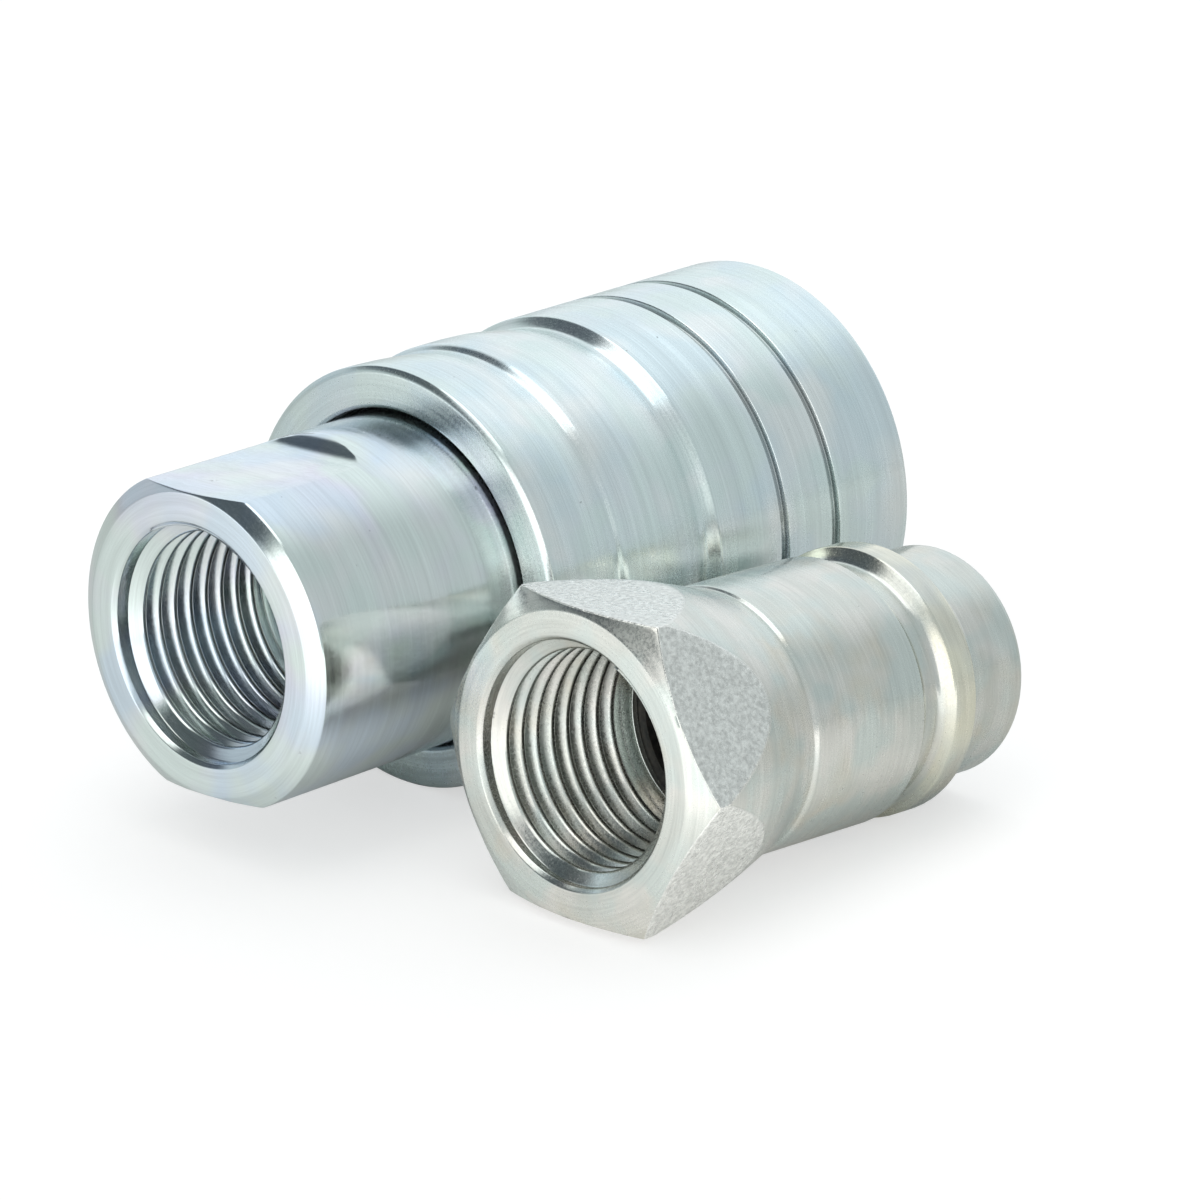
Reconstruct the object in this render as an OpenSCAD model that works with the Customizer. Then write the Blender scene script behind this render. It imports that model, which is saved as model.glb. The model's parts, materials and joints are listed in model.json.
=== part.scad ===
// Quick coupling, flat-ball-lock poppet type: the socket half and the plug half,
// uncoupled and lying side by side. Millimetres. The socket's axis is along +X,
// its port faces -X, and Z is up. The origin is under the middle of the pair.

/* [Socket port adapter] */
// diameter of the round adapter
adapter_od = 29.66; // [26:0.01:34]
// length from the port face to the joint with the valve body
adapter_length = 29.0; // [24:0.1:36]
// distance across the two wrench flats, shared by the plug's hexagon
wrench_size = 27.0; // [22:0.5:32]
// length of a wrench flat before its end shoulder
flat_length = 14.4; // [8:0.1:18]
// length of the shoulder at the flat's end
flat_ramp = 1.6; // [0.5:0.1:5]
// how far the flats are turned about the axis, in degrees
flat_roll = -3; // [-45:1:45]
// width of the bevel on the port face's rim
rim_bevel = 1.5; // [0.5:0.1:3]
// depth of the bevel on the port face's rim
rim_bevel_depth = 0.87; // [0.3:0.01:2]

/* [Port bores] */
// diameter of the port bore at the thread's root
port_d = 20.96; // [16:0.01:26]
// depth of the port bore
port_depth = 17.0; // [12:0.1:20]
// diameter of the countersink at the port's mouth
port_mouth_d = 21.7; // [18:0.1:25]

/* [Sleeve] */
// largest diameter of the sleeve
sleeve_od = 38.0; // [34:0.1:44]
// position of the sleeve's rear face
sleeve_rear = 23.9; // [20:0.1:28]
// position of the sleeve's front face, which is the socket's length
socket_length = 70.0; // [60:0.1:80]
// diameter of the sleeve's rear opening
sleeve_rear_bore = 30.5; // [30:0.01:32]
// bore of the sleeve's guide land
sleeve_guide_bore = 26.2; // [25:0.01:28]
// bore of the sleeve's locking land
lock_land_bore = 31.96; // [30:0.01:34]
// bore of the sleeve's release recess
release_bore = 34.0; // [32:0.01:36]
// how far the sleeve slides back
sleeve_travel = 5.0; // [3:0.1:7]

/* [Valve body] */
// diameter of the valve body behind its collar
valve_body_d = 26.04; // [24:0.01:28]
// diameter of the valve body's collar round the balls
collar_d = 31.1; // [29:0.1:33]
// position of the collar's rear face
collar_rear = 48.6; // [44:0.1:52]
// bore that takes the plug's body
entry_bore = 24.1; // [23:0.01:26]
// wider bore round the balls, which keeps their holes' edges off the plug
ball_relief_d = 24.6; // [24:0.01:27]
// bore that takes the plug's nose
nose_bore = 20.62; // [19:0.01:22]
// bore of the valve chamber
socket_chamber_d = 19.2; // [17:0.1:21]

/* [Locking balls] */
// number of locking balls
ball_count = 8; // [6:1:10]
// diameter of a locking ball
ball_d = 4.76; // [3:0.01:6]
// position of the ball row along the axis
ball_row = 61.0; // [56:0.1:65]
// distance of a ball's centre from the axis at rest
ball_ring_r = 13.5; // [12:0.01:16]
// diameter of a ball's guide hole
ball_hole_d = 4.92; // [4:0.01:6]
// diameter of the lip that keeps a ball from falling in
ball_lip_d = 4.36; // [3:0.01:5]

/* [Plug body] */
// length of the plug half
plug_length = 46.2; // [40:0.1:52]
// diameter of the plug's body ahead of the hexagon
plug_body_d = 23.66; // [22:0.01:26]
// diameter of the locking ridge
ridge_d = 23.94; // [22:0.01:26]
// diameter at the bottom of the ball groove
groove_d = 21.5; // [20:0.1:23]
// diameter of the nose
nose_d = 20.46; // [19:0.01:22]
// bore of the plug's valve chamber
plug_chamber_d = 18.0; // [16:0.1:20]
// position of the plug's port face along the socket's axis
plug_x = 10.7; // [0:0.1:30]
// sideways distance between the two axes
plug_offset = 33.5; // [30:0.1:45]
// nose-down tilt of the plug as it lies, in degrees
plug_tilt = 3.267; // [0:0.001:6]

/* [Valves] */
// diameter of both valve seats
seat_d = 14.0; // [10:0.1:16]
// diameter of a poppet's nose
poppet_nose_d = 13.0; // [9:0.1:15]
// diameter of a poppet's stem
stem_d = 4.4; // [3:0.1:6]
// bore of a guide's hub
hub_bore = 4.56; // [3:0.01:6]
// position of the socket poppet's tip
socket_poppet_tip = 54.0; // [50:0.1:58]
// position of the plug poppet's tip from the plug's port face
plug_poppet_tip = 45.7; // [43:0.1:50]
// gap between a poppet's cone and its seat
seat_gap = 0.35; // [0.1:0.05:1]
// section radius of a poppet's seal
poppet_seal_r = 0.9; // [0.5:0.05:1.5]

/* [Springs] */
// wire diameter of the sleeve's spring
sleeve_wire_d = 1.4; // [1:0.1:2]
// mean radius of the sleeve's spring
sleeve_spring_r = 14.2; // [13.8:0.05:14.6]
// wire diameter of the valve springs
valve_wire_d = 1.2; // [0.8:0.1:1.8]
// mean radius of the socket's valve spring
socket_spring_r = 6.2; // [5:0.1:8]
// mean radius of the plug's valve spring
plug_spring_r = 5.8; // [5:0.1:8]

/* [Hidden] */
$fn = 96;
sleeve_r = sleeve_od / 2;
adapter_r = adapter_od / 2;
half_wrench = wrench_size / 2;
hex_r = half_wrench / cos(30);
plug_r = plug_body_d / 2;
ridge_r = ridge_d / 2;
nose_r = nose_d / 2;
chamber_r = socket_chamber_d / 2;
plug_chamber_r = plug_chamber_d / 2;
seat_r = seat_d / 2;
axis_height = sleeve_r;
hex_foot = 10.8;
plug_height = half_wrench * cos(plug_tilt) + hex_foot * sin(plug_tilt);
shift_x = -socket_length / 2;
shift_y = (plug_offset + hex_r - sleeve_r) / 2;
socket_seat_end = 45.6;
plug_seat_end = 40.4;
guide_thickness = 2.5;
socket_guide_rear = 22.0;
plug_guide_rear = 18.85;
joint_gap = 0.02;

// ---- placing ----

// puts a piece drawn about Z, with its port at z = 0, onto the socket's axis
module on_socket_axis() {
    translate([shift_x, shift_y, axis_height])
        rotate([0, 90, 0])
            children();
}

// puts a piece drawn about Z, with its port at z = 0, onto the plug's axis
module on_plug_axis() {
    translate([shift_x + plug_x, shift_y - plug_offset, plug_height])
        rotate([0, 90 + plug_tilt, 0])
            children();
}

// ---- shared shapes ----

// a turned part: points are [radius, position along the axis]
module turned(points) {
    rotate_extrude()
        polygon(points);
}

module hole(d, from, to) {
    translate([0, 0, from])
        cylinder(d = d, h = to - from);
}

module ring(section_r, mean_r, at) {
    translate([0, 0, at])
        rotate_extrude()
            translate([mean_r, 0])
                circle(r = section_r, $fn = 48);
}

// the port bore with its countersink
module port_bore() {
    translate([0, 0, -1])
        cylinder(d = port_d, h = port_depth + 1);
    translate([0, 0, -0.5])
        cylinder(r1 = port_mouth_d / 2 + 0.5, r2 = port_mouth_d / 2 - 0.6, h = 1.1);
}

// a coil spring with closed end turns, from one seat to the other
function coil_height(t, turns, wire, length) =
    let (rise = length - 3 * wire, free = turns - 2)
    t < 1 ? wire / 2 + t * wire
    : t > turns - 1 ? length - wire / 2 - (turns - t) * wire
    : wire * 1.5 + (t - 1) / free * rise;

module coil_spring(mean_r, wire, turns, from, to) {
    sides = 8;
    steps = 22;
    rings = round(turns * steps);
    points = [for (i = [0:rings]) let (t = i / steps) for (k = [0:sides - 1])
        let (a = 360 * k / sides, r = mean_r + wire / 2 * cos(a))
        [r * cos(360 * t), r * sin(360 * t),
         from + coil_height(t, turns, wire, to - from) + wire / 2 * sin(a)]];
    skin = [for (i = [0:rings - 1]) for (k = [0:sides - 1])
        [i * sides + k, i * sides + (k + 1) % sides,
         (i + 1) * sides + (k + 1) % sides, (i + 1) * sides + k]];
    start = [[for (k = [sides - 1:-1:0]) k]];
    finish = [[for (k = [0:sides - 1]) rings * sides + k]];
    polyhedron(points, concat(skin, start, finish), convexity = 10);
}

// a poppet: head, sealing cone, nose and stem, with the seal's groove
module poppet(head_r, head_rear, seat_end, tip, stem_end) {
    cone_sum = seat_end + seat_r - seat_gap * sqrt(2);
    nose = poppet_nose_d / 2;
    difference() {
        turned([[0, stem_end], [stem_d / 2 - 0.4, stem_end], [stem_d / 2, stem_end + 0.4],
                [stem_d / 2, head_rear - 0.6], [stem_d / 2 + 0.6, head_rear],
                [head_r, head_rear], [head_r, cone_sum - head_r], [nose, cone_sum - nose],
                [nose, tip - 0.8], [nose - 0.8, tip], [2.2, tip], [1.2, tip - 1], [0, tip - 1]]);
        ring(poppet_seal_r + 0.02, seal_ring_r(seat_end), seal_ring_at(seat_end));
    }
}

// the seal sits 0.08 short of the seat, half way down the cone
function seal_ring_at(seat_end) = seat_end - 1.45;
function seal_ring_r(seat_end) =
    seat_r + seat_end - (poppet_seal_r + 0.08) * sqrt(2) - seal_ring_at(seat_end);

// a drilled disc with a hub that guides a stem
module valve_guide(r, rear, hub_front, hole_ring_r, hole_d) {
    difference() {
        union() {
            translate([0, 0, rear])
                cylinder(r = r, h = guide_thickness);
            translate([0, 0, rear])
                cylinder(d = 8.4, h = hub_front - rear);
        }
        hole(hub_bore, rear - 1, hub_front + 1);
        for (i = [0:5])
            rotate([0, 0, i * 60])
                translate([hole_ring_r, 0, rear - 1])
                    cylinder(d = hole_d, h = guide_thickness + 2);
    }
}

// an internal circlip with its gap and two plier eyes
module retaining_ring(outer_r, inner_r, at, thick) {
    difference() {
        union() {
            translate([0, 0, at])
                difference() {
                    cylinder(r = outer_r, h = thick);
                    translate([0, 0, -1])
                        cylinder(r = inner_r, h = thick + 2);
                }
            for (a = [-14, 14])
                rotate([0, 0, a])
                    translate([inner_r - 0.3, 0, at])
                        cylinder(r = 1.3, h = thick);
        }
        translate([inner_r - 3, -0.7, at - 1])
            cube([5, 1.4, thick + 2]);
        for (a = [-14, 14])
            rotate([0, 0, a])
                translate([inner_r - 0.3, 0, at - 1])
                    cylinder(r = 0.55, h = thick + 2);
    }
}

// ---- socket half ----

module wrench_flat() {
    translate([0, 20, 0])
        rotate([90, 0, 0])
            linear_extrude(40)
                polygon([[half_wrench, -1], [half_wrench, flat_length - 0.9],
                         [half_wrench + 0.14, flat_length + 0.1],
                         [adapter_r + 0.1, flat_length + flat_ramp],
                         [adapter_r + 3, flat_length + flat_ramp], [adapter_r + 3, -1]]);
}

module port_adapter() {
    color([0.72, 0.76, 0.8]) on_socket_axis()
        difference() {
            turned([[0, 0], [adapter_r - rim_bevel, 0], [adapter_r, rim_bevel_depth],
                    [adapter_r, adapter_length - 0.4], [adapter_r - 0.4, adapter_length],
                    [0, adapter_length]]);
            port_bore();
            hole(17.2, 1, 25);
            hole(23.3, port_depth + 2.2, adapter_length + 1);
            translate([0, 0, adapter_length - 1.6])
                cylinder(r1 = 11.65, r2 = 13.25 + 0.1, h = 1.7);
            for (side = [0, 180])
                rotate([0, 0, side + flat_roll])
                    wrench_flat();
        }
}

module valve_body() {
    front = socket_length - 0.7;
    bore = entry_bore / 2;
    relief = ball_relief_d / 2;
    nose = nose_bore / 2;
    color([0.7, 0.72, 0.74]) on_socket_axis()
        difference() {
            turned([[chamber_r, 19.6], [11.2, 19.6], [11.6, 20.0],
                    [11.6, adapter_length + joint_gap],
                    [valve_body_d / 2, adapter_length + joint_gap],
                    [valve_body_d / 2, collar_rear],
                    [collar_d / 2 - 0.4, collar_rear], [collar_d / 2, collar_rear + 0.4],
                    [collar_d / 2, front - 0.6], [collar_d / 2 - 0.6, front],
                    [bore + 0.9, front], [bore, front - 0.9],
                    [bore, 63.2], [relief, 63.2 - relief + bore],
                    [relief, 56.5], [nose, 56.5 - relief + nose],
                    [nose, 53.55], [12.45, 53.55], [12.45, 50.0], [nose, 50.0],
                    [nose, 47.0], [seat_r, 47.0], [seat_r, socket_seat_end],
                    [chamber_r, socket_seat_end - chamber_r + seat_r],
                    [chamber_r, 21.95], [10.15, 21.95], [10.15, 20.65], [chamber_r, 20.65]]);
            for (i = [0:ball_count - 1])
                rotate([0, 0, (i + 0.5) * 360 / ball_count])
                    translate([0, 0, ball_row])
                        rotate([0, 90, 0]) {
                            cylinder(d = ball_lip_d, h = 20);
                            translate([0, 0, relief + 0.2])
                                cylinder(d = ball_hole_d, h = 8);
                        }
        }
}

module joint_seal() {
    color([0.12, 0.12, 0.12]) on_socket_axis()
        ring(0.45, 12.09, adapter_length - 0.49);
}

module nose_seal() {
    color([0.12, 0.12, 0.12]) on_socket_axis()
        ring(1.15, 11.27, 51.2);
}

module backup_ring() {
    color([0.85, 0.84, 0.78]) on_socket_axis()
        turned([[10.36, 52.42], [12.4, 52.42], [12.4, 53.5], [10.36, 53.5]]);
}

module sleeve() {
    r = sleeve_r;
    guide = sleeve_guide_bore / 2;
    land = lock_land_bore / 2;
    recess = release_bore / 2;
    rear = sleeve_rear_bore / 2;
    color([0.7, 0.76, 0.8]) on_socket_axis()
        turned([[rear + 0.3, sleeve_rear], [r - 0.5, sleeve_rear], [r, sleeve_rear + 0.35],
                // first grip roll and its step
                [r - 0.02, 25.6], [r - 0.1, 27.6], [r - 0.27, 29.8], [r - 0.5, 31.6],
                [r - 0.44, 32.2], [r - 0.24, 32.8], [r, 33.3],
                // second grip roll and its deeper step
                [r, 36.0], [r - 0.07, 37.9], [r - 0.2, 39.2], [r - 0.42, 40.8],
                [r - 0.72, 42.3], [r - 0.92, 43.1], [r - 0.86, 43.7], [r - 0.55, 44.4],
                [r, 45.1],
                // two narrow grooves
                [r, 52.7], [r - 0.55, 52.8], [r - 0.55, 53.6], [r, 53.7],
                [r, 59.4], [r - 0.55, 59.5], [r - 0.55, 60.3], [r, 60.4],
                [r, socket_length - 0.5], [r - 0.5, socket_length],
                [recess + 0.4, socket_length], [recess, socket_length - 0.4],
                [recess, 65.7], [land, 60.6],
                [land, 48.5], [guide + 0.4, 48.5], [guide, 48.1],
                [guide, 44.0], [rear, 44.0], [rear, sleeve_rear + 0.3]]);
}

module sleeve_spring() {
    color([0.6, 0.6, 0.6]) on_socket_axis()
        coil_spring(sleeve_spring_r, sleeve_wire_d, 5, adapter_length + 0.05, 43.95);
}

module locking_ball(index) {
    color([0.78, 0.78, 0.78]) on_socket_axis()
        rotate([0, 0, (index - 0.5) * 360 / ball_count])
            translate([ball_ring_r, 0, ball_row])
                sphere(d = ball_d, $fn = 32);
}

module ball_1() { locking_ball(1); }
module ball_2() { locking_ball(2); }
module ball_3() { locking_ball(3); }
module ball_4() { locking_ball(4); }
module ball_5() { locking_ball(5); }
module ball_6() { locking_ball(6); }
module ball_7() { locking_ball(7); }
module ball_8() { locking_ball(8); }

module socket_poppet() {
    color([0.75, 0.72, 0.62]) on_socket_axis()
        poppet(8.4, 39.5, socket_seat_end, socket_poppet_tip, 20.0);
}

module socket_poppet_seal() {
    color([0.12, 0.12, 0.12]) on_socket_axis()
        ring(poppet_seal_r, seal_ring_r(socket_seat_end), seal_ring_at(socket_seat_end));
}

module socket_valve_spring() {
    color([0.6, 0.6, 0.6]) on_socket_axis()
        coil_spring(socket_spring_r, valve_wire_d, 6,
                    socket_guide_rear + guide_thickness + 0.05, 39.45);
}

module socket_valve_guide() {
    color([0.66, 0.66, 0.62]) on_socket_axis()
        valve_guide(chamber_r - 0.1, socket_guide_rear, 27.5, 7.4, 3.0);
}

module socket_retaining_ring() {
    color([0.3, 0.3, 0.3]) on_socket_axis()
        retaining_ring(10.1, 8.7, 20.7, 1.2);
}

// ---- plug half ----

module plug_body() {
    floor_r = groove_d / 2;
    chamber = plug_chamber_r;
    color([0.72, 0.72, 0.7]) on_plug_axis()
        difference() {
            union() {
                intersection() {
                    rotate([0, 0, 30])
                        cylinder(r = hex_r, h = 17.0, $fn = 6);
                    turned([[0, 0], [13.0, 0], [15.8, 1.617], [14.62, 6.5],
                            [13.5, hex_foot], [11.65, 17.0], [0, 17.0]]);
                }
                turned([[0, 16.5], [11.6, 16.5], [11.6, 17.3], [plug_r, 17.6],
                        [plug_r, 31.0], [plug_r - 0.3, 31.3], [floor_r, 32.2],
                        [floor_r, 34.1], [ridge_r, 35.0], [ridge_r, 37.6],
                        [nose_r, 39.3], [nose_r, plug_length - 0.7],
                        [nose_r - 0.25, plug_length - 0.2], [nose_r - 0.6, plug_length],
                        [0, plug_length]]);
            }
            port_bore();
            turned([[0, 1], [chamber, 1], [chamber, 17.6], [9.55, 17.6], [9.55, 18.8],
                    [chamber, 18.8], [chamber, plug_seat_end - chamber + seat_r],
                    [seat_r, plug_seat_end], [seat_r, plug_length + 1], [0, plug_length + 1]]);
        }
}

module plug_poppet() {
    color([0.75, 0.72, 0.62]) on_plug_axis()
        poppet(7.9, 35.0, plug_seat_end, plug_poppet_tip, 19.4);
}

module plug_poppet_seal() {
    color([0.12, 0.12, 0.12]) on_plug_axis()
        ring(poppet_seal_r, seal_ring_r(plug_seat_end), seal_ring_at(plug_seat_end));
}

module plug_valve_spring() {
    color([0.6, 0.6, 0.6]) on_plug_axis()
        coil_spring(plug_spring_r, valve_wire_d, 6,
                    plug_guide_rear + guide_thickness + 0.05, 34.95);
}

module plug_valve_guide() {
    color([0.2, 0.2, 0.2]) on_plug_axis()
        valve_guide(plug_chamber_r - 0.1, plug_guide_rear, 24.0, 6.8, 2.8);
}

module plug_retaining_ring() {
    color([0.3, 0.3, 0.3]) on_plug_axis()
        retaining_ring(9.5, 8.1, 17.65, 1.1);
}

port_adapter();
valve_body();
joint_seal();
nose_seal();
backup_ring();
sleeve();
sleeve_spring();
socket_poppet();
socket_poppet_seal();
socket_valve_spring();
socket_valve_guide();
socket_retaining_ring();
ball_1();
ball_2();
ball_3();
ball_4();
ball_5();
ball_6();
ball_7();
ball_8();
plug_body();
plug_poppet();
plug_poppet_seal();
plug_valve_spring();
plug_valve_guide();
plug_retaining_ring();
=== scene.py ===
import json
import math

import bpy
import numpy as np
from mathutils import Matrix, Vector


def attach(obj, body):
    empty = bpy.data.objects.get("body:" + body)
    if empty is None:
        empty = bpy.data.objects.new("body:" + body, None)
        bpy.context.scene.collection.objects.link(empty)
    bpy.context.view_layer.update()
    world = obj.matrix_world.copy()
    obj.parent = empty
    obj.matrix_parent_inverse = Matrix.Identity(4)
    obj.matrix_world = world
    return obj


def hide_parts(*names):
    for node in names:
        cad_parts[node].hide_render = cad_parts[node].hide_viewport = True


# A quick coupling pulled apart: the socket half lies behind, the plug half in front.
# Every length in the dictionaries is in millimetres. "s" is counted from a half's port
# face along its axis, and an angle is counted round the axis: 0 is +Y, 90 is up.

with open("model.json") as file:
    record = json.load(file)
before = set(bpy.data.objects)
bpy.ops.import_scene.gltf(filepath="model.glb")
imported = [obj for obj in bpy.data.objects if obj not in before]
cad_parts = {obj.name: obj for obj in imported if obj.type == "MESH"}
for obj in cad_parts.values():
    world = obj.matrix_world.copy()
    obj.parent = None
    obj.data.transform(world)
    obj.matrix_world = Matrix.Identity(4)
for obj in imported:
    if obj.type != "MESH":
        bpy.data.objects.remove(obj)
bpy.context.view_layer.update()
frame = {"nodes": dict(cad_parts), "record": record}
millimetre = 0.001
mounts = {entry["name"]: entry for entry in frame["record"]["mounts"]}
print("frame loaded:", len(frame["nodes"]), "nodes")


def halfAxes(portName, faceName):
    # the port's centre is the mount's point, slid along its axis onto the port face
    outward = np.array(mounts[portName]["axis"], float)
    outward /= np.linalg.norm(outward)
    point = np.array(mounts[portName]["pos_m"], float)
    face = np.array(mounts[faceName]["pos_m"], float)
    side = np.array((0.0, 1.0, 0.0))
    return {"start": point + outward * np.dot(face - point, outward), "along": -outward,
            "side": side, "up": np.cross(-outward, side)}


socketHalf = halfAxes("socket_port", "socket_port_face")
plugHalf = halfAxes("plug_port", "plug_port_face")


# ---- camera, floor and light ----

cameraSettings = {
    "place": (-0.3559, -0.3399, 0.1906),
    "right": (0.6922, -0.7218, 0.0),
    "forward": (0.6811, 0.6532, -0.3312),
    "lens": 180.0,
    "sensor": 36.0,
}


def addCamera(settings):
    data = bpy.data.cameras.new("main_camera")
    data.lens = settings["lens"]
    data.sensor_width = settings["sensor"]
    data.clip_start = 0.01
    data.clip_end = 20.0
    camera = bpy.data.objects.new("main_camera", data)
    bpy.context.scene.collection.objects.link(camera)
    forward = Vector(settings["forward"]).normalized()
    right = Vector(settings["right"]).normalized()
    up = right.cross(forward).normalized()
    turn = Matrix((right, up, -forward)).transposed()
    camera.matrix_world = Matrix.Translation(settings["place"]) @ turn.to_4x4()
    bpy.context.scene.camera = camera


def newMaterial(name):
    material = bpy.data.materials.new(name)
    material.use_nodes = True
    material.node_tree.nodes.clear()
    return material, material.node_tree.nodes, material.node_tree.links


studioSettings = {
    "floorSize": 6.0,
    "floorSeen": (0.53, 0.515, 0.51, 1.0),
    "floorGlow": 0.57,
    "floorMirrored": (0.70, 0.70, 0.68, 1.0),
    "leftGlow": 0.9,
    "leftFrom": 0.0,
    "leftTo": -0.085,
    "leftAlong": (0.8, 0.6, 0.0),
    "skySeen": (1.0, 1.0, 1.0, 1.0),
    "room": (0.60, 0.66, 0.67, 1.0),
    "lampPower": 1.7,
    "lampSize": 0.7,
    "lampHeight": 0.9,
}

# parts of the room: azimuth (0 is +X, 90 is +Y) and height in degrees, the angle within
# which the part is whole, the angle where it has gone, and its light
roomLobes = [
    {"azimuth": 35, "height": 32, "whole": 20, "gone": 54, "light": (1.0, 1.07, 1.10, 1.0)},
    {"azimuth": 112, "height": 44, "whole": 17, "gone": 28, "light": (0.10, 0.12, 0.14, 1.0)},
    {"azimuth": 148, "height": 36, "whole": 18, "gone": 28, "light": (0.10, 0.12, 0.13, 1.0)},
    {"azimuth": 178, "height": 56, "whole": 13, "gone": 22, "light": (1.6, 1.63, 1.6, 1.0)},
    {"azimuth": 195, "height": -2, "whole": 27, "gone": 34, "light": (1.7, 1.73, 1.7, 1.0)},
]


def floorMaterial(settings):
    # seen by the camera the floor glows a little, so its shadows stay light; what the
    # metal mirrors is a plain floor that glows on the left
    material, nodes, links = newMaterial("studio_floor")
    out = nodes.new("ShaderNodeOutputMaterial")
    where = nodes.new("ShaderNodeTexCoord")
    dot = nodes.new("ShaderNodeVectorMath")
    dot.operation = "DOT_PRODUCT"
    dot.inputs[1].default_value = settings["leftAlong"]
    fade = nodes.new("ShaderNodeMapRange")
    fade.inputs["From Min"].default_value = settings["leftFrom"]
    fade.inputs["From Max"].default_value = settings["leftTo"]
    fade.inputs["To Max"].default_value = settings["leftGlow"]
    mirrored = nodes.new("ShaderNodeBsdfDiffuse")
    mirrored.inputs["Color"].default_value = settings["floorMirrored"]
    seen = nodes.new("ShaderNodeBsdfDiffuse")
    seen.inputs["Color"].default_value = settings["floorSeen"]
    leftGlow = nodes.new("ShaderNodeEmission")
    glow = nodes.new("ShaderNodeEmission")
    glow.inputs["Strength"].default_value = settings["floorGlow"]
    inMetal = nodes.new("ShaderNodeAddShader")
    inCamera = nodes.new("ShaderNodeAddShader")
    path = nodes.new("ShaderNodeLightPath")
    pick = nodes.new("ShaderNodeMixShader")
    links.new(where.outputs["Object"], dot.inputs[0])
    links.new(dot.outputs["Value"], fade.inputs["Value"])
    links.new(fade.outputs["Result"], leftGlow.inputs["Strength"])
    links.new(mirrored.outputs["BSDF"], inMetal.inputs[0])
    links.new(leftGlow.outputs["Emission"], inMetal.inputs[1])
    links.new(seen.outputs["BSDF"], inCamera.inputs[0])
    links.new(glow.outputs["Emission"], inCamera.inputs[1])
    links.new(path.outputs["Is Camera Ray"], pick.inputs["Fac"])
    links.new(inMetal.outputs["Shader"], pick.inputs[1])
    links.new(inCamera.outputs["Shader"], pick.inputs[2])
    links.new(pick.outputs["Shader"], out.inputs["Surface"])
    return material


def addFloor(settings):
    half = settings["floorSize"] / 2
    mesh = bpy.data.meshes.new("studio_floor")
    mesh.from_pydata([(-half, -half, 0), (half, -half, 0), (half, half, 0), (-half, half, 0)],
                     [], [(0, 1, 2, 3)])
    mesh.materials.append(floorMaterial(settings))
    floor = bpy.data.objects.new("studio_floor", mesh)
    bpy.context.scene.collection.objects.link(floor)


def addRoom(settings, lobes):
    # each lobe is laid over the ones before it, with a soft edge between its two angles
    world = bpy.data.worlds.new("studio")
    world.use_nodes = True
    bpy.context.scene.world = world
    nodes, links = world.node_tree.nodes, world.node_tree.links
    nodes.clear()
    out = nodes.new("ShaderNodeOutputWorld")
    back = nodes.new("ShaderNodeBackground")
    where = nodes.new("ShaderNodeTexCoord")
    light = None
    for lobe in lobes:
        turn, lift = math.radians(lobe["azimuth"]), math.radians(lobe["height"])
        dot = nodes.new("ShaderNodeVectorMath")
        dot.operation = "DOT_PRODUCT"
        dot.inputs[1].default_value = (math.cos(turn) * math.cos(lift),
                                       math.sin(turn) * math.cos(lift), math.sin(lift))
        fade = nodes.new("ShaderNodeMapRange")
        fade.interpolation_type = "SMOOTHSTEP"
        fade.inputs["From Min"].default_value = math.cos(math.radians(lobe["gone"]))
        fade.inputs["From Max"].default_value = math.cos(math.radians(lobe["whole"]))
        tint = nodes.new("ShaderNodeMix")
        tint.data_type = "RGBA"
        tint.inputs["A"].default_value = settings["room"]
        tint.inputs["B"].default_value = lobe["light"]
        links.new(where.outputs["Generated"], dot.inputs[0])
        links.new(dot.outputs["Value"], fade.inputs["Value"])
        links.new(fade.outputs["Result"], tint.inputs["Factor"])
        if light is not None:
            links.new(light, tint.inputs["A"])
        light = tint.outputs["Result"]
    path = nodes.new("ShaderNodeLightPath")
    seen = nodes.new("ShaderNodeMix")
    seen.data_type = "RGBA"
    seen.inputs["B"].default_value = settings["skySeen"]
    links.new(light, seen.inputs["A"])
    links.new(path.outputs["Is Camera Ray"], seen.inputs["Factor"])
    links.new(seen.outputs["Result"], back.inputs["Color"])
    links.new(back.outputs["Background"], out.inputs["Surface"])


def addLamp(settings):
    lamp = bpy.data.lights.new("overhead_softbox", "AREA")
    lamp.energy = settings["lampPower"]
    lamp.size = settings["lampSize"]
    lampObject = bpy.data.objects.new("overhead_softbox", lamp)
    lampObject.location = (0, 0, settings["lampHeight"])
    bpy.context.scene.collection.objects.link(lampObject)


addCamera(cameraSettings)
addFloor(studioSettings)
addRoom(studioSettings, roomLobes)
addLamp(studioSettings)
bpy.context.scene.view_settings.view_transform = "Standard"
print("camera and studio ready")


# ---- materials ----

def axisSpace(nodes, links, half):
    # turns the object's coordinates into the half's own: X along its axis, from the port face
    where = nodes.new("ShaderNodeTexCoord")
    place = nodes.new("ShaderNodeMapping")
    place.vector_type = "TEXTURE"
    place.inputs["Location"].default_value = Vector(half["start"])
    tilt = math.atan2(-half["along"][2], half["along"][0])
    place.inputs["Rotation"].default_value = (0.0, tilt, 0.0)
    links.new(where.outputs["Object"], place.inputs["Vector"])
    return place.outputs["Vector"]


def maths(nodes, links, operation, first, second=None, third=None):
    node = nodes.new("ShaderNodeMath")
    node.operation = operation
    for socket, value in zip(node.inputs, (first, second, third)):
        if isinstance(value, bpy.types.NodeSocket):
            links.new(value, socket)
        elif value is not None:
            socket.default_value = value
    return node.outputs[0]


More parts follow.
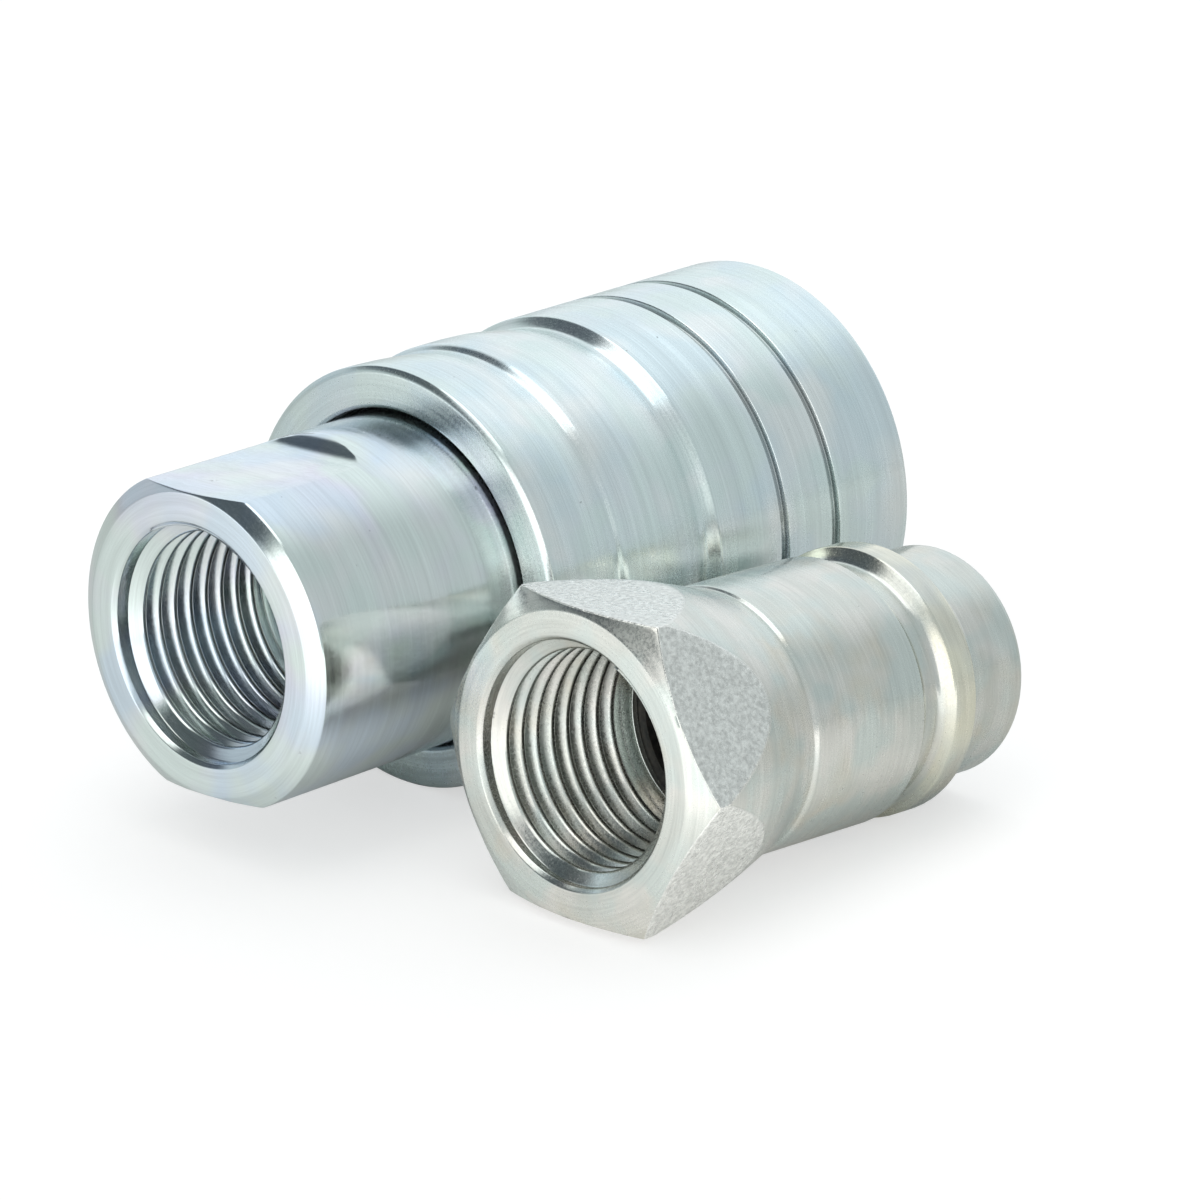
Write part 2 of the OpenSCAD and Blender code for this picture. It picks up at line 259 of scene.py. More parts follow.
def polar(nodes, links, point):
    # along, distance from the axis, and the two sides of the direction round it
    split = nodes.new("ShaderNodeSeparateXYZ")
    links.new(point, split.inputs[0])
    square = maths(nodes, links, "MULTIPLY", split.outputs[1], split.outputs[1])
    total = maths(nodes, links, "MULTIPLY_ADD", split.outputs[2], split.outputs[2], square)
    radius = maths(nodes, links, "SQRT", total)
    across = maths(nodes, links, "DIVIDE", split.outputs[1], radius)
    upward = maths(nodes, links, "DIVIDE", split.outputs[2], radius)
    return split.outputs[0], radius, across, upward


def noise(nodes, links, vector, scale, detail=2.0, roughness=0.5, fourth=None):
    # a fourth value, if there is one, makes it a pattern in four dimensions
    node = nodes.new("ShaderNodeTexNoise")
    node.noise_dimensions = "4D" if fourth is not None else "3D"
    node.inputs["Scale"].default_value = scale
    node.inputs["Detail"].default_value = detail
    node.inputs["Roughness"].default_value = roughness
    links.new(vector, node.inputs["Vector"])
    if fourth is not None:
        links.new(fourth, node.inputs["W"])
    return node.outputs[0]


def perMillimetre(size):
    # the scale of a noise whose blobs are this many millimetres wide
    return 1.0 / (size * millimetre)


def spread(nodes, links, value, low, high, outLow=0.0, outHigh=1.0):
    # the value's share of the way from low to high, put between the two out values
    node = nodes.new("ShaderNodeMapRange")
    node.inputs["From Min"].default_value = low
    node.inputs["From Max"].default_value = high
    node.inputs["To Min"].default_value = outLow
    node.inputs["To Max"].default_value = outHigh
    links.new(value, node.inputs["Value"])
    return node.outputs["Result"]


def blendColour(nodes, links, factor, first, second):
    # either colour may be another node's output
    node = nodes.new("ShaderNodeMix")
    node.data_type = "RGBA"
    links.new(factor, node.inputs["Factor"])
    for socket, value in ((node.inputs["A"], first), (node.inputs["B"], second)):
        if isinstance(value, bpy.types.NodeSocket):
            links.new(value, socket)
        else:
            socket.default_value = (*value, 1.0)
    return node.outputs["Result"]


markNoise = (2.0, 0.6)


def turningMarks(nodes, links, parts, pitch, length):
    # noise that is fine along the profile and long round the axis, so it draws tool marks
    along, radius, across, upward = parts
    join = nodes.new("ShaderNodeCombineXYZ")
    links.new(maths(nodes, links, "DIVIDE", along, pitch * millimetre), join.inputs[0])
    links.new(maths(nodes, links, "DIVIDE", radius, pitch * millimetre), join.inputs[1])
    links.new(maths(nodes, links, "MULTIPLY", across, length), join.inputs[2])
    return noise(nodes, links, join.outputs[0], 1.0, *markNoise,
                 maths(nodes, links, "MULTIPLY", upward, length))


def product(nodes, links, *values):
    total = values[0]
    for value in values[1:]:
        total = maths(nodes, links, "MULTIPLY", total, value)
    return total


def faded(nodes, links, value, mask):
    # the value where the mask is 1, and 1 where the mask is 0
    less = maths(nodes, links, "SUBTRACT", value, 1.0)
    return maths(nodes, links, "MULTIPLY_ADD", less, mask, 1.0)


def bumped(nodes, links, height, distance, under=None):
    # the distance is the bump's depth in millimetres, laid over the bump under it
    node = nodes.new("ShaderNodeBump")
    node.inputs["Strength"].default_value = 1.0
    node.inputs["Distance"].default_value = distance * millimetre
    links.new(height, node.inputs["Height"])
    if under is not None:
        links.new(under, node.inputs["Normal"])
    return node.outputs["Normal"]


# what all the zinc has in common; "edges" are the noise values between which a mask fades,
# and a noise has its detail and its roughness
zincPattern = {
    "quarterTurn": 0.25, "edge": 0.1, "patchFiner": (1.0, 1.37, 1.89),
    "patchEdges": (0.44, 0.60), "markEdges": (0.3, 0.7), "markTop": 1.05,
    "bandLength": 0.7, "bandShades": (0.92, 1.04), "streakEdges": (0.45, 0.75),
    "grainNoise": (2.0, 0.65), "speckNoise": (4.0, 0.75), "speckEdges": (0.70, 0.75),
    "speckShade": 0.45,
}

socketZinc = {
    "tints": [(0.65, 0.73, 0.81), (0.74, 0.71, 0.80), (0.77, 0.79, 0.79), (0.71, 0.78, 0.76)],
    "patchSize": 14.0, "roughLow": 0.10, "roughHigh": 0.19, "streakRough": 0.10,
    "markPitch": 0.16, "markLength": 1.6, "markDepth": 0.0012, "markShade": 0.07,
    "bandPitch": 1.3, "grainSize": 0.22, "grainDepth": 0.0022, "speckSize": 1.6,
    "brushed": 0.55,
}

sleeveZinc = {
    "tints": [(0.70, 0.80, 0.84), (0.76, 0.82, 0.85), (0.83, 0.86, 0.86), (0.74, 0.83, 0.82)],
    "patchSize": 12.0, "roughLow": 0.17, "roughHigh": 0.28, "streakRough": 0.12,
    "markPitch": 0.14, "markLength": 1.2, "markDepth": 0.0022, "markShade": 0.10,
    "bandPitch": 1.1, "grainSize": 0.20, "grainDepth": 0.0030, "speckSize": 1.4,
    "brushed": 0.8,
    # the two narrow grooves get painted shade, a darkening of their colour: where along, below which
    # radius, how dark
    "paintedGrooveShade": {"from": 52.4, "to": 60.7, "below": 18.8, "shade": 0.62},
}

plugZinc = {
    "tints": [(0.66, 0.67, 0.63), (0.70, 0.66, 0.58), (0.75, 0.73, 0.69), (0.65, 0.69, 0.66)],
    "patchSize": 9.0, "roughLow": 0.15, "roughHigh": 0.28, "streakRough": 0.12,
    "markPitch": 0.2, "markLength": 2.2, "markDepth": 0.0016, "markShade": 0.09,
    "bandPitch": 1.4, "grainSize": 0.24, "grainDepth": 0.0040, "speckSize": 1.2,
    "brushed": 0.6,
    # the locking ridge is worn to a yellowish white
    "worn": {"from": 34.4, "to": 38.4, "colour": (0.86, 0.82, 0.68),
             "patchEdges": (0.35, 0.6)},
}

hexFlats = {
    "step": 60.0, "sectorsAdded": 20, "width": 27.0, "maskEdges": (0.12, 0.04),
    "colour": (0.86, 0.85, 0.82), "grain": 0.45, "frostNoise": (3.0, 0.7), "depth": 0.10,
    "rough": 0.06, "glintEdges": (0.35, 0.65), "glintShades": (0.74, 1.1),
}


def roundTheAxis(nodes, links, half):
    # the direction of the tool marks: the axis crossed with the way from the port's centre
    where = nodes.new("ShaderNodeTexCoord")
    away = nodes.new("ShaderNodeVectorMath")
    away.operation = "SUBTRACT"
    away.inputs[1].default_value = Vector(half["start"])
    cross = nodes.new("ShaderNodeVectorMath")
    cross.operation = "CROSS_PRODUCT"
    cross.inputs[0].default_value = Vector(half["along"])
    links.new(where.outputs["Object"], away.inputs[0])
    links.new(away.outputs[0], cross.inputs[1])
    return cross.outputs[0]


def between(nodes, links, along, low, high):
    # 1 between the two places along the axis, with a soft edge on either side of each
    soft = zincPattern["edge"]
    rise = spread(nodes, links, along, (low - soft) * millimetre, (low + soft) * millimetre)
    fall = spread(nodes, links, along, (high - soft) * millimetre, (high + soft) * millimetre,
                  1.0, 0.0)
    return product(nodes, links, rise, fall)


def flatMask(nodes, links, parts, flats):
    # 1 where the distance from the axis, measured square to the nearest flat, is the flat's;
    # whole sectors are added to the angle so that the remainder is never negative
    angle = maths(nodes, links, "ARCTAN2", parts[3], parts[2])
    step = math.radians(flats["step"])
    shifted = maths(nodes, links, "ADD", angle, flats["sectorsAdded"] * step)
    fromMiddle = maths(nodes, links, "SUBTRACT",
                       maths(nodes, links, "MODULO", shifted, step), step / 2)
    reach = product(nodes, links, parts[1], maths(nodes, links, "COSINE", fromMiddle))
    farEdge, nearEdge = flats["maskEdges"]
    return spread(nodes, links, reach, (flats["width"] / 2 - farEdge) * millimetre,
                  (flats["width"] / 2 - nearEdge) * millimetre)


def driftingTint(nodes, links, patches, tints):
    colour = tints[0]
    for patch, tint in zip(patches, tints[1:]):
        share = spread(nodes, links, patch, *zincPattern["patchEdges"])
        colour = blendColour(nodes, links, share, colour, tint)
    return colour


def toolShade(nodes, links, point, marks, bands, look):
    # how much the marks, the broader bands and a few dark specks in thin plating take away
    shadeMarks = spread(nodes, links, marks, *zincPattern["markEdges"],
                        1.0 - look["markShade"], zincPattern["markTop"])
    shadeBands = spread(nodes, links, bands, *zincPattern["markEdges"],
                        *zincPattern["bandShades"])
    specks = noise(nodes, links, point, perMillimetre(look["speckSize"]),
                   *zincPattern["speckNoise"])
    shadeSpecks = spread(nodes, links, specks, *zincPattern["speckEdges"],
                         1.0, zincPattern["speckShade"])
    return product(nodes, links, shadeMarks, shadeBands, shadeSpecks)


def paintedGrooveShading(nodes, links, parts, paintedGrooveShade):
    # the painted shade in the grooves: a colour factor where a groove is deep enough, and 1
    # elsewhere
    deep = spread(nodes, links, parts[1], (paintedGrooveShade["below"] - zincPattern["edge"]) * millimetre,
                  paintedGrooveShade["below"] * millimetre, 1.0, 0.0)
    inside = product(nodes, links, deep,
                     between(nodes, links, parts[0], paintedGrooveShade["from"], paintedGrooveShade["to"]))
    return maths(nodes, links, "MULTIPLY_ADD", inside, paintedGrooveShade["shade"] - 1.0, 1.0)


def wornTint(nodes, links, parts, patch, colour, worn):
    patchy = spread(nodes, links, patch, *worn["patchEdges"])
    place = product(nodes, links, patchy,
                    between(nodes, links, parts[0], worn["from"], worn["to"]))
    return blendColour(nodes, links, place, colour, worn["colour"])


def zincPlate(name, half, look, flats=None):
    # bright zinc plating over turned steel: tool marks, a fine grain and drifting tints
    material, nodes, links = newMaterial(name)
    out = nodes.new("ShaderNodeOutputMaterial")
    shade = nodes.new("ShaderNodeBsdfPrincipled")
    shade.inputs["Metallic"].default_value = 1.0
    shade.inputs["Anisotropic"].default_value = look["brushed"]
    shade.inputs["Anisotropic Rotation"].default_value = zincPattern["quarterTurn"]
    point = axisSpace(nodes, links, half)
    parts = polar(nodes, links, point)
    links.new(roundTheAxis(nodes, links, half), shade.inputs["Tangent"])
    patches = [noise(nodes, links, point, perMillimetre(look["patchSize"]) * finer)
               for finer in zincPattern["patchFiner"]]
    marks = turningMarks(nodes, links, parts, look["markPitch"], look["markLength"])
    bands = turningMarks(nodes, links, parts, look["bandPitch"], zincPattern["bandLength"])
    grain = noise(nodes, links, point, perMillimetre(look["grainSize"]),
                  *zincPattern["grainNoise"])
    colour = driftingTint(nodes, links, patches, look["tints"])
    shading = toolShade(nodes, links, point, marks, bands, look)
    # painted shade: the colour inside the sleeve's grooves is darkened
    if "paintedGrooveShade" in look:
        shading = product(nodes, links, shading, paintedGrooveShading(nodes, links, parts, look["paintedGrooveShade"]))
    if "worn" in look:
        colour = wornTint(nodes, links, parts, patches[1], colour, look["worn"])
    rough = spread(nodes, links, grain, *zincPattern["markEdges"],
                   look["roughLow"], look["roughHigh"])
    streak = spread(nodes, links, bands, *zincPattern["streakEdges"], 0.0, look["streakRough"])
    rough = maths(nodes, links, "ADD", rough, streak)
    if flats is not None:
        # the bar's own drawn flats are frosted, where no tool has passed
        mask = flatMask(nodes, links, parts, flats)
        turned = maths(nodes, links, "SUBTRACT", 1.0, mask)
        marks = product(nodes, links, marks, turned)
        shading = faded(nodes, links, shading, turned)
        colour = blendColour(nodes, links, mask, colour, flats["colour"])
        frost = noise(nodes, links, point, perMillimetre(flats["grain"]), *flats["frostNoise"])
        glint = spread(nodes, links, frost, *flats["glintEdges"], *flats["glintShades"])
        shading = product(nodes, links, shading, faded(nodes, links, glint, mask))
        rough = maths(nodes, links, "MULTIPLY_ADD", mask, flats["rough"], rough)
    height = bumped(nodes, links, marks, look["markDepth"])
    height = bumped(nodes, links, grain, look["grainDepth"], height)
    if flats is not None:
        height = bumped(nodes, links, product(nodes, links, frost, mask),
                        flats["depth"], height)
    darker = nodes.new("ShaderNodeVectorMath")
    darker.operation = "SCALE"
    links.new(colour, darker.inputs[0])
    links.new(shading, darker.inputs["Scale"])
    links.new(darker.outputs[0], shade.inputs["Base Color"])
    links.new(rough, shade.inputs["Roughness"])
    links.new(height, shade.inputs["Normal"])
    links.new(shade.outputs["BSDF"], out.inputs["Surface"])
    return material


plainPattern = {
    "noise": (3.0, 0.6), "tintEdges": (0.35, 0.65), "roughEdges": (0.3, 0.7),
    "roughShares": (0.85, 1.2),
}

plainFinishes = {
    "spring_steel": {"colour": (0.42, 0.42, 0.43), "second": (0.30, 0.30, 0.31),
                     "metal": 1.0, "rough": 0.35, "grain": 0.5, "depth": 0.003},
    "valve_steel": {"colour": (0.50, 0.50, 0.47), "second": (0.38, 0.38, 0.36),
                    "metal": 1.0, "rough": 0.38, "grain": 0.6, "depth": 0.003},
    "ball_steel": {"colour": (0.78, 0.78, 0.79), "second": (0.70, 0.70, 0.71),
                   "metal": 1.0, "rough": 0.12, "grain": 1.2, "depth": 0.0005},
    # painted shade: a near-black steel that stands in for the shadow deep in the ports' bores
    "ring_steel": {"colour": (0.06, 0.06, 0.06), "second": (0.11, 0.10, 0.09),
                   "metal": 0.6, "rough": 0.42, "grain": 0.5, "depth": 0.004},
    "seal_rubber": {"colour": (0.020, 0.020, 0.021), "second": (0.035, 0.035, 0.036),
                    "metal": 0.0, "rough": 0.55, "grain": 0.4, "depth": 0.006},
    "backup_plastic": {"colour": (0.80, 0.79, 0.72), "second": (0.74, 0.72, 0.64),
                       "metal": 0.0, "rough": 0.45, "grain": 0.8, "depth": 0.004},
}


def plainFinish(name, look):
    # two close tints mixed by noise, with a fine bump of the same grain
    material, nodes, links = newMaterial(name)
    out = nodes.new("ShaderNodeOutputMaterial")
    shade = nodes.new("ShaderNodeBsdfPrincipled")
    shade.inputs["Metallic"].default_value = look["metal"]
    where = nodes.new("ShaderNodeTexCoord")
    grain = noise(nodes, links, where.outputs["Object"], perMillimetre(look["grain"]),
                  *plainPattern["noise"])
    share = spread(nodes, links, grain, *plainPattern["tintEdges"])
    colour = blendColour(nodes, links, share, look["colour"], look["second"])
    links.new(colour, shade.inputs["Base Color"])
    smoother, rougher = plainPattern["roughShares"]
    rough = spread(nodes, links, grain, *plainPattern["roughEdges"],
                   look["rough"] * smoother, look["rough"] * rougher)
    links.new(rough, shade.inputs["Roughness"])
    links.new(bumped(nodes, links, grain, look["depth"]), shade.inputs["Normal"])
    links.new(shade.outputs["BSDF"], out.inputs["Surface"])
    return material


materials = {name: plainFinish(name, look) for name, look in plainFinishes.items()}
materials["socket_zinc"] = zincPlate("socket_zinc", socketHalf, socketZinc)
materials["body_zinc"] = zincPlate("body_zinc", socketHalf, plugZinc)
materials["sleeve_zinc"] = zincPlate("sleeve_zinc", socketHalf, sleeveZinc)
materials["plug_zinc"] = zincPlate("plug_zinc", plugHalf, plugZinc, hexFlats)
print("materials ready:", len(materials))


# ---- shapes ----

# a fillet takes no more than this share of a run, columns crowd towards a flat's edge by
# this power, a plane's distance is worked out down to this cosine, and flats meet each
# other where their sectors are narrower than this many radians
shapeLimits = {"filletShare": 0.45, "crowding": 1.4, "leastCosine": 0.3, "meetingSector": 2.0}


def roundedLoop(corners, steps):
    # each corner of the closed outline gives way to a quadratic curve, which leaves the
    # line one fillet before the corner and joins the next line one fillet after it
    table = np.array(corners, float)
    corner, fillet = table[:, :2], table[:, 2:3]
    back = np.roll(corner, 1, axis=0) - corner
    ahead = np.roll(corner, -1, axis=0) - corner
    backLength = np.linalg.norm(back, axis=1, keepdims=True)
    aheadLength = np.linalg.norm(ahead, axis=1, keepdims=True)
    cut = np.minimum(fillet, shapeLimits["filletShare"] * np.minimum(backLength, aheadLength))
    first = (corner + back / backLength * cut)[:, None, :]
    last = (corner + ahead / aheadLength * cut)[:, None, :]
    t = np.linspace(0.0, 1.0, steps)[None, :, None]
    curve = (1 - t) ** 2 * first + 2 * t * (1 - t) * corner[:, None, :] + t ** 2 * last
    return curve.reshape(-1, 2)


def evenRuns(loop, gap):
    # extra points on the long runs of the closed outline, none further apart than the gap
    closed = np.vstack([loop, loop[:1]])
    run = np.linalg.norm(np.diff(closed, axis=0), axis=1)
    start = np.concatenate([[0.0], np.cumsum(run)])
    pieces = np.maximum(1, np.ceil(run / gap)).astype(int)
    owner = np.repeat(np.arange(len(run)), pieces)
    order = np.arange(len(owner)) - np.repeat(np.cumsum(pieces) - pieces, pieces)
    place = start[owner] + run[owner] * order / pieces[owner]
    return np.column_stack([np.interp(place, start, closed[:, 0]),
                            np.interp(place, start, closed[:, 1])])


def softMin(first, second, soft):
    # the lower of two values, with the crease between them rounded over about "soft"
    return 0.5 * (first + second) - 0.5 * np.sqrt((first - second) ** 2 + soft ** 2)


def toWorld(half, along, radius, angle):
    # a point is the port's centre, plus s along the axis, plus r in the direction of the angle
    spin = (half["side"] * np.cos(angle)[..., None] + half["up"] * np.sin(angle)[..., None])
    return half["start"] + (half["along"] * along[..., None] + spin * radius[..., None]) * millimetre


def gridMesh(name, points, material, ringed=True):
    # a mesh of four-sided faces over a grid of points, turned so that it faces outwards; its
    # columns always close, and its rows close too or have a cap at either end
    rows, columns = points.shape[:2]
    index = np.arange(rows * columns).reshape(rows, columns)
    down = np.roll(index, -1, axis=0) if ringed else index[1:]
    here = index if ringed else index[:-1]
    right, downRight = np.roll(here, -1, axis=1), np.roll(down, -1, axis=1)
    quads = np.stack([here, right, downRight, down], axis=-1).reshape(-1, 4)
    flat = points.reshape(-1, 3)
    centred = flat - flat.mean(axis=0)
    a, b, c, d = (centred[quads[:, k]] for k in range(4))
    volume = np.einsum("ij,ij->i", a, np.cross(b, c) + np.cross(c, d)).sum()
    faces = quads[:, ::-1] if volume < 0 else quads
    polygons = faces.tolist()
    if not ringed:
        ends = [index[0], index[-1][::-1]]
        if volume < 0:
            ends = [end[::-1] for end in ends]
        polygons += [end[::-1].tolist() for end in ends]
    mesh = bpy.data.meshes.new(name)
    mesh.from_pydata(flat.tolist(), [], polygons)
    mesh.polygons.foreach_set("use_smooth", np.ones(len(polygons), bool))
    mesh.materials.append(material)
    mesh.validate()
    mesh.update()
    piece = bpy.data.objects.new(name, mesh)
    bpy.context.scene.collection.objects.link(piece)
    return piece


def weighNormals(piece):
    # large faces keep their own direction, and the small fillets take the turn
    modifier = piece.modifiers.new("weighted", "WEIGHTED_NORMAL")
    modifier.mode = "FACE_AREA"
    modifier.weight = 80
    modifier.keep_sharp = True


def flatColumns(edgeAngle, sector, flatSteps, roundSteps):
    # column angles across one sector, measured from the flat's middle: close together
    # at the flat's two edges, wherever those are on each row
    v = np.linspace(-1.0, 1.0, flatSteps * 2 + 1)[None, :]
    onFlat = edgeAngle[:, None] * np.sin(v * math.pi / 2)
    w = np.linspace(0.0, 1.0, roundSteps + 1)[None, 1:]
    beyond = edgeAngle[:, None] + (sector / 2 - edgeAngle[:, None]) * w ** shapeLimits["crowding"]
    return np.concatenate([-beyond[:, ::-1], onFlat, beyond[:, :-1]], axis=1)


def turnedPiece(name, half, look, material, flatGap=None):
    # a closed outline is carried round the axis; where there are flats, the distance from
    # the axis is the outline's or the flat's, whichever is less
    loop = evenRuns(roundedLoop(look["outline"], look["cornerSteps"]), look["gap"])
    along, radius = loop[:, 0], loop[:, 1]
    if flatGap is None:
        angle = np.linspace(0, 2 * math.pi, look["columns"], endpoint=False)
        angle = np.broadcast_to(angle, (len(loop), look["columns"]))
        reach = np.broadcast_to(radius[:, None], angle.shape)
    else:
        sector = 2 * math.pi / look["flatCount"]
        gap = flatGap(along)
        edge = np.arccos(np.clip(gap / radius, -1.0, 1.0))
        edge = np.clip(edge, look["leastEdge"], sector / 2 - look["leastRound"])
        inside = flatColumns(edge, sector, look["flatSteps"], look["roundSteps"])
        middle = math.radians(look["flatTurn"]) + sector * np.arange(look["flatCount"])
        angle = (middle[None, :, None] + inside[:, None, :]).reshape(len(loop), -1)
        fromFlat = np.broadcast_to(inside[:, None, :], (len(loop), len(middle), inside.shape[1]))
        fromFlat = fromFlat.reshape(len(loop), -1)
        planes = gap[:, None] / np.maximum(np.cos(fromFlat), shapeLimits["leastCosine"])
        if sector < shapeLimits["meetingSector"]:
            planes = softMin(planes, gap[:, None] / np.cos(sector - np.abs(fromFlat)), look["soft"])
        outer = (radius > look["flatFrom"])[:, None]
        reach = np.where(outer, softMin(radius[:, None], planes, look["soft"]), radius[:, None])
    piece = gridMesh(name, toWorld(half, np.broadcast_to(along[:, None], angle.shape), reach, angle),
                     material)
    weighNormals(piece)
    return piece


adapter = {
    "outline": [(0.0, 10.85, 0.08), (0.0, 13.33, 0.1), (0.87, 14.83, 0.15), (28.6, 14.83, 0.15),
                (29.0, 14.43, 0.1), (29.0, 13.35, 0.1), (27.4, 11.65, 0.1), (19.2, 11.65, 0.1),
                (19.2, 8.6, 0.1), (17.0, 8.6, 0.2), (17.0, 10.48, 0.1), (0.37, 10.48, 0.1)],
    "cornerSteps": 5, "gap": 0.5, "flatCount": 2, "flatTurn": 87.0,
    "flatSteps": 16, "roundSteps": 30, "leastEdge": 0.05, "leastRound": 0.1,
    "soft": 0.09, "flatFrom": 12.6,
    "halfWidth": 13.5, "flatEnd": 14.4, "rampLength": 1.6, "rampRise": 1.43, "rampFoot": 0.22,
}


def adapterFlats(along):
    # a flat's distance from the axis: level, then rising in a straight shoulder, with the
    # foot between the two rounded over
    climb = adapter["rampRise"] * (along - adapter["flatEnd"]) / adapter["rampLength"]
    return adapter["halfWidth"] - softMin(-climb, 0.0 * climb, adapter["rampFoot"])


adapterPiece = turnedPiece("adapter_shell", socketHalf, adapter, materials["socket_zinc"],
                           adapterFlats)
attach(adapterPiece, "shells")
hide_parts("port_adapter")

sleeve = {
    "outline": [(23.9, 15.55, 0.1), (23.9, 18.5, 0.2), (24.25, 19.0, 0.15),
                (25.6, 18.98, 0.5), (27.6, 18.9, 0.9), (29.8, 18.73, 0.9), (32.0, 18.46, 0.4),
                (32.5, 18.5, 0.15), (32.9, 18.86, 0.12), (33.2, 19.0, 0.15),
                (36.0, 19.0, 0.9), (37.9, 18.93, 0.6), (39.2, 18.8, 0.7), (40.8, 18.58, 0.7),
                (42.3, 18.28, 0.4), (43.4, 18.05, 0.3), (43.9, 18.1, 0.2),
                (44.4, 18.5, 0.25), (44.9, 19.0, 0.15),
                (52.7, 19.0, 0.12), (52.8, 18.45, 0.1), (53.6, 18.45, 0.1), (53.7, 19.0, 0.12),
                (59.4, 19.0, 0.12), (59.5, 18.45, 0.1), (60.3, 18.45, 0.1), (60.4, 19.0, 0.12),
                (69.5, 19.0, 0.2), (70.0, 18.5, 0.2), (70.0, 17.4, 0.1), (69.6, 17.0, 0.1),
                (65.7, 17.0, 0.2), (60.6, 15.98, 0.2), (48.5, 15.98, 0.1), (48.5, 13.5, 0.1),
                (48.1, 13.1, 0.1), (44.0, 13.1, 0.05), (44.0, 15.25, 0.1), (24.2, 15.25, 0.1)],
    "cornerSteps": 4, "gap": 0.8, "columns": 200,
}
sleevePiece = turnedPiece("sleeve_shell", socketHalf, sleeve, materials["sleeve_zinc"])
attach(sleevePiece, "sleeve")
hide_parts("sleeve")

plug = {
    "outline": [(0.0, 10.85, 0.1), (0.0, 13.0, 0.1), (1.617, 15.8, 0.3), (6.5, 14.62, 0.9),
                (10.8, 13.5, 0.8), (16.9, 11.68, 0.5), (17.3, 11.6, 0.1), (17.6, 11.83, 0.12),
                (31.0, 11.83, 0.1), (31.3, 11.53, 0.1), (32.2, 10.75, 0.3), (34.1, 10.75, 0.3),
                (35.0, 11.97, 0.15), (37.6, 11.97, 0.3), (39.3, 10.23, 0.5), (45.5, 10.23, 0.2),
                (46.0, 9.98, 0.2), (46.2, 9.63, 0.1), (46.2, 7.0, 0.15), (40.4, 7.0, 0.2),
                (38.4, 9.0, 0.3), (18.8, 9.0, 0.05), (18.8, 9.55, 0.05), (17.6, 9.55, 0.05),
                (17.6, 9.0, 0.05), (17.0, 9.0, 0.15), (17.0, 10.48, 0.1), (0.37, 10.48, 0.1)],
    "cornerSteps": 5, "gap": 0.5, "flatCount": 6, "flatTurn": 30.0,
    "flatSteps": 9, "roundSteps": 7, "leastEdge": 0.04, "leastRound": 0.02,
    "soft": 0.1, "flatFrom": 12.6, "halfWidth": 13.5,
}


def plugFlats(along):
    return np.full(along.shape, plug["halfWidth"])


plugPiece = turnedPiece("plug_shell", plugHalf, plug, materials["plug_zinc"], plugFlats)
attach(plugPiece, "shells")
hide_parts("plug_body")
print("shells ready")


# ---- port threads ----

# half the ridge's section gives a place as a share of the pitch from the crest, and a
# height as a share of the depth; the ridge stands on a foot sunk into the wall
thread = {
    "pitch": 1.814, "root": 10.48, "depth": 1.16, "sunk": 0.12, "stepsPerTurn": 120,
    "section": [(0.06, 1.0), (0.13, 0.94), (0.19, 0.80), (0.43, 0.10), (0.47, 0.02), (0.485, 0.0)],
    "fadeTurns": 0.6, "startSteepness": 4.0, "crestSoft": 0.05, "lowest": 0.06,
}

socketPort = {"first": 0.95, "last": 16.4, "coneFrom": 0.12, "coneSlope": 0.9, "turned": 1.0}
plugPort = {"first": 1.0, "last": 16.4, "coneFrom": 0.3, "coneSlope": 0.9, "turned": 2.0}


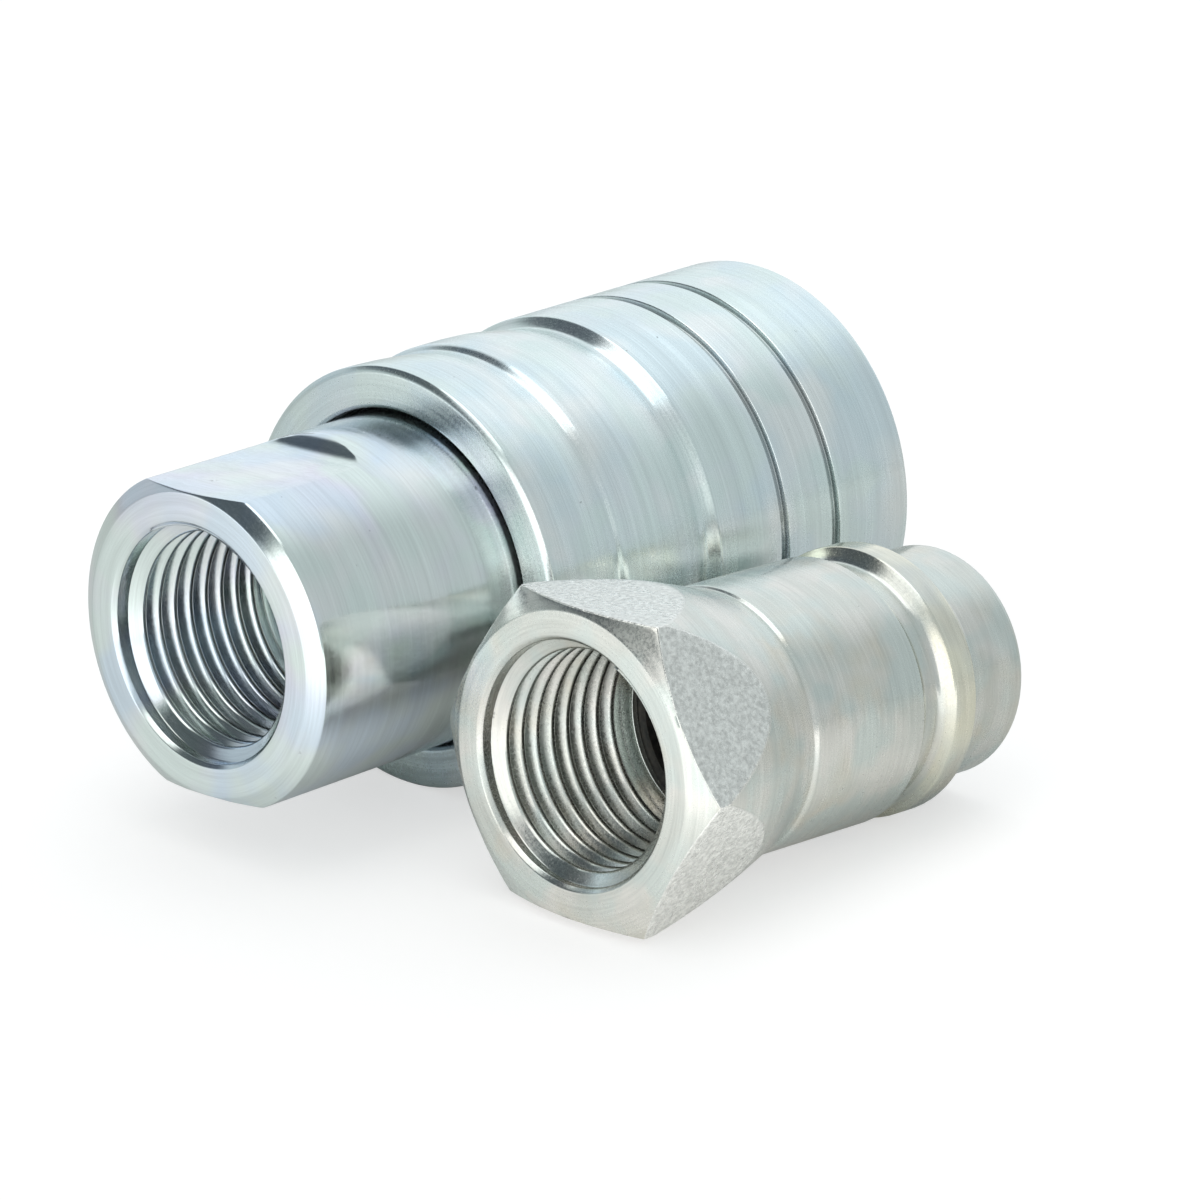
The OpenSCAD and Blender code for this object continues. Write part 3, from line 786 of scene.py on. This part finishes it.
def threadRidge(name, half, material, port):
    # the ridge's section is carried along a helix: s is the first turn's place plus the pitch
    # times the turns; the crest is cut back to the mouth's cone, and the ridge comes up
    # steeply at the start and sinks into the wall over the last part of a turn
    pitch = thread["pitch"]
    turns = (port["last"] - port["first"]) / pitch
    turn = np.linspace(0.0, turns, int(turns * thread["stepsPerTurn"]))[:, None]
    side = np.array(thread["section"])
    offset = np.concatenate([-side[::-1, 0], side[:, 0]])[None, :]
    height = np.concatenate([side[::-1, 1], side[:, 1]])[None, :]
    along = port["first"] + pitch * (turn + offset)
    toAnEnd = np.clip(np.minimum(turn, turns - turn) / thread["fadeTurns"], 0.0, 1.0)
    toTheLast = np.clip((turns - turn) / thread["fadeTurns"], 0.0, 1.0)
    room = np.clip((along - port["coneFrom"]) * port["coneSlope"], 0.0, thread["depth"])
    lift = softMin(height * thread["depth"] * toTheLast, room, thread["crestSoft"])
    lift = lift * np.minimum(1.0, toAnEnd * thread["startSteepness"])
    lift = np.maximum(lift, -thread["lowest"])
    along = np.concatenate([along, along[:, -1:], along[:, :1]], axis=1)
    foot = np.full((len(turn), 2), thread["root"] + thread["sunk"])
    radius = np.concatenate([thread["root"] - lift, foot], axis=1)
    angle = np.broadcast_to(2 * math.pi * turn + port["turned"], radius.shape)
    return gridMesh(name, toWorld(half, along, radius, angle), material, ringed=False)


socketThread = threadRidge("socket_thread", socketHalf, materials["socket_zinc"], socketPort)
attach(socketThread, "shells")
plugThread = threadRidge("plug_thread", plugHalf, materials["plug_zinc"], plugPort)
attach(plugThread, "shells")
print("threads ready")


# ---- finishes of the nodes that stay ----

nodeFinish = {
    "valve_body": "body_zinc", "joint_seal": "seal_rubber", "nose_seal": "seal_rubber",
    "backup_ring": "backup_plastic", "sleeve_spring": "spring_steel",
    "socket_poppet": "valve_steel", "socket_poppet_seal": "seal_rubber",
    "socket_valve_spring": "spring_steel", "socket_valve_guide": "valve_steel",
    # the retaining rings and the plug's guide, deep in the bores, take the near-black steel of
    # painted shade
    "socket_retaining_ring": "ring_steel", "plug_poppet": "valve_steel",
    "plug_poppet_seal": "seal_rubber", "plug_valve_spring": "spring_steel",
    "plug_valve_guide": "ring_steel", "plug_retaining_ring": "ring_steel",
    "port_adapter": "socket_zinc", "sleeve": "sleeve_zinc", "plug_body": "plug_zinc",
}
nodeFinish.update({"ball_%d" % number: "ball_steel" for number in range(1, 9)})
for nodeName, finish in nodeFinish.items():
    for place in frame["nodes"][nodeName].material_slots:
        place.material = materials[finish]
print("finishes set on", len(nodeFinish), "nodes")
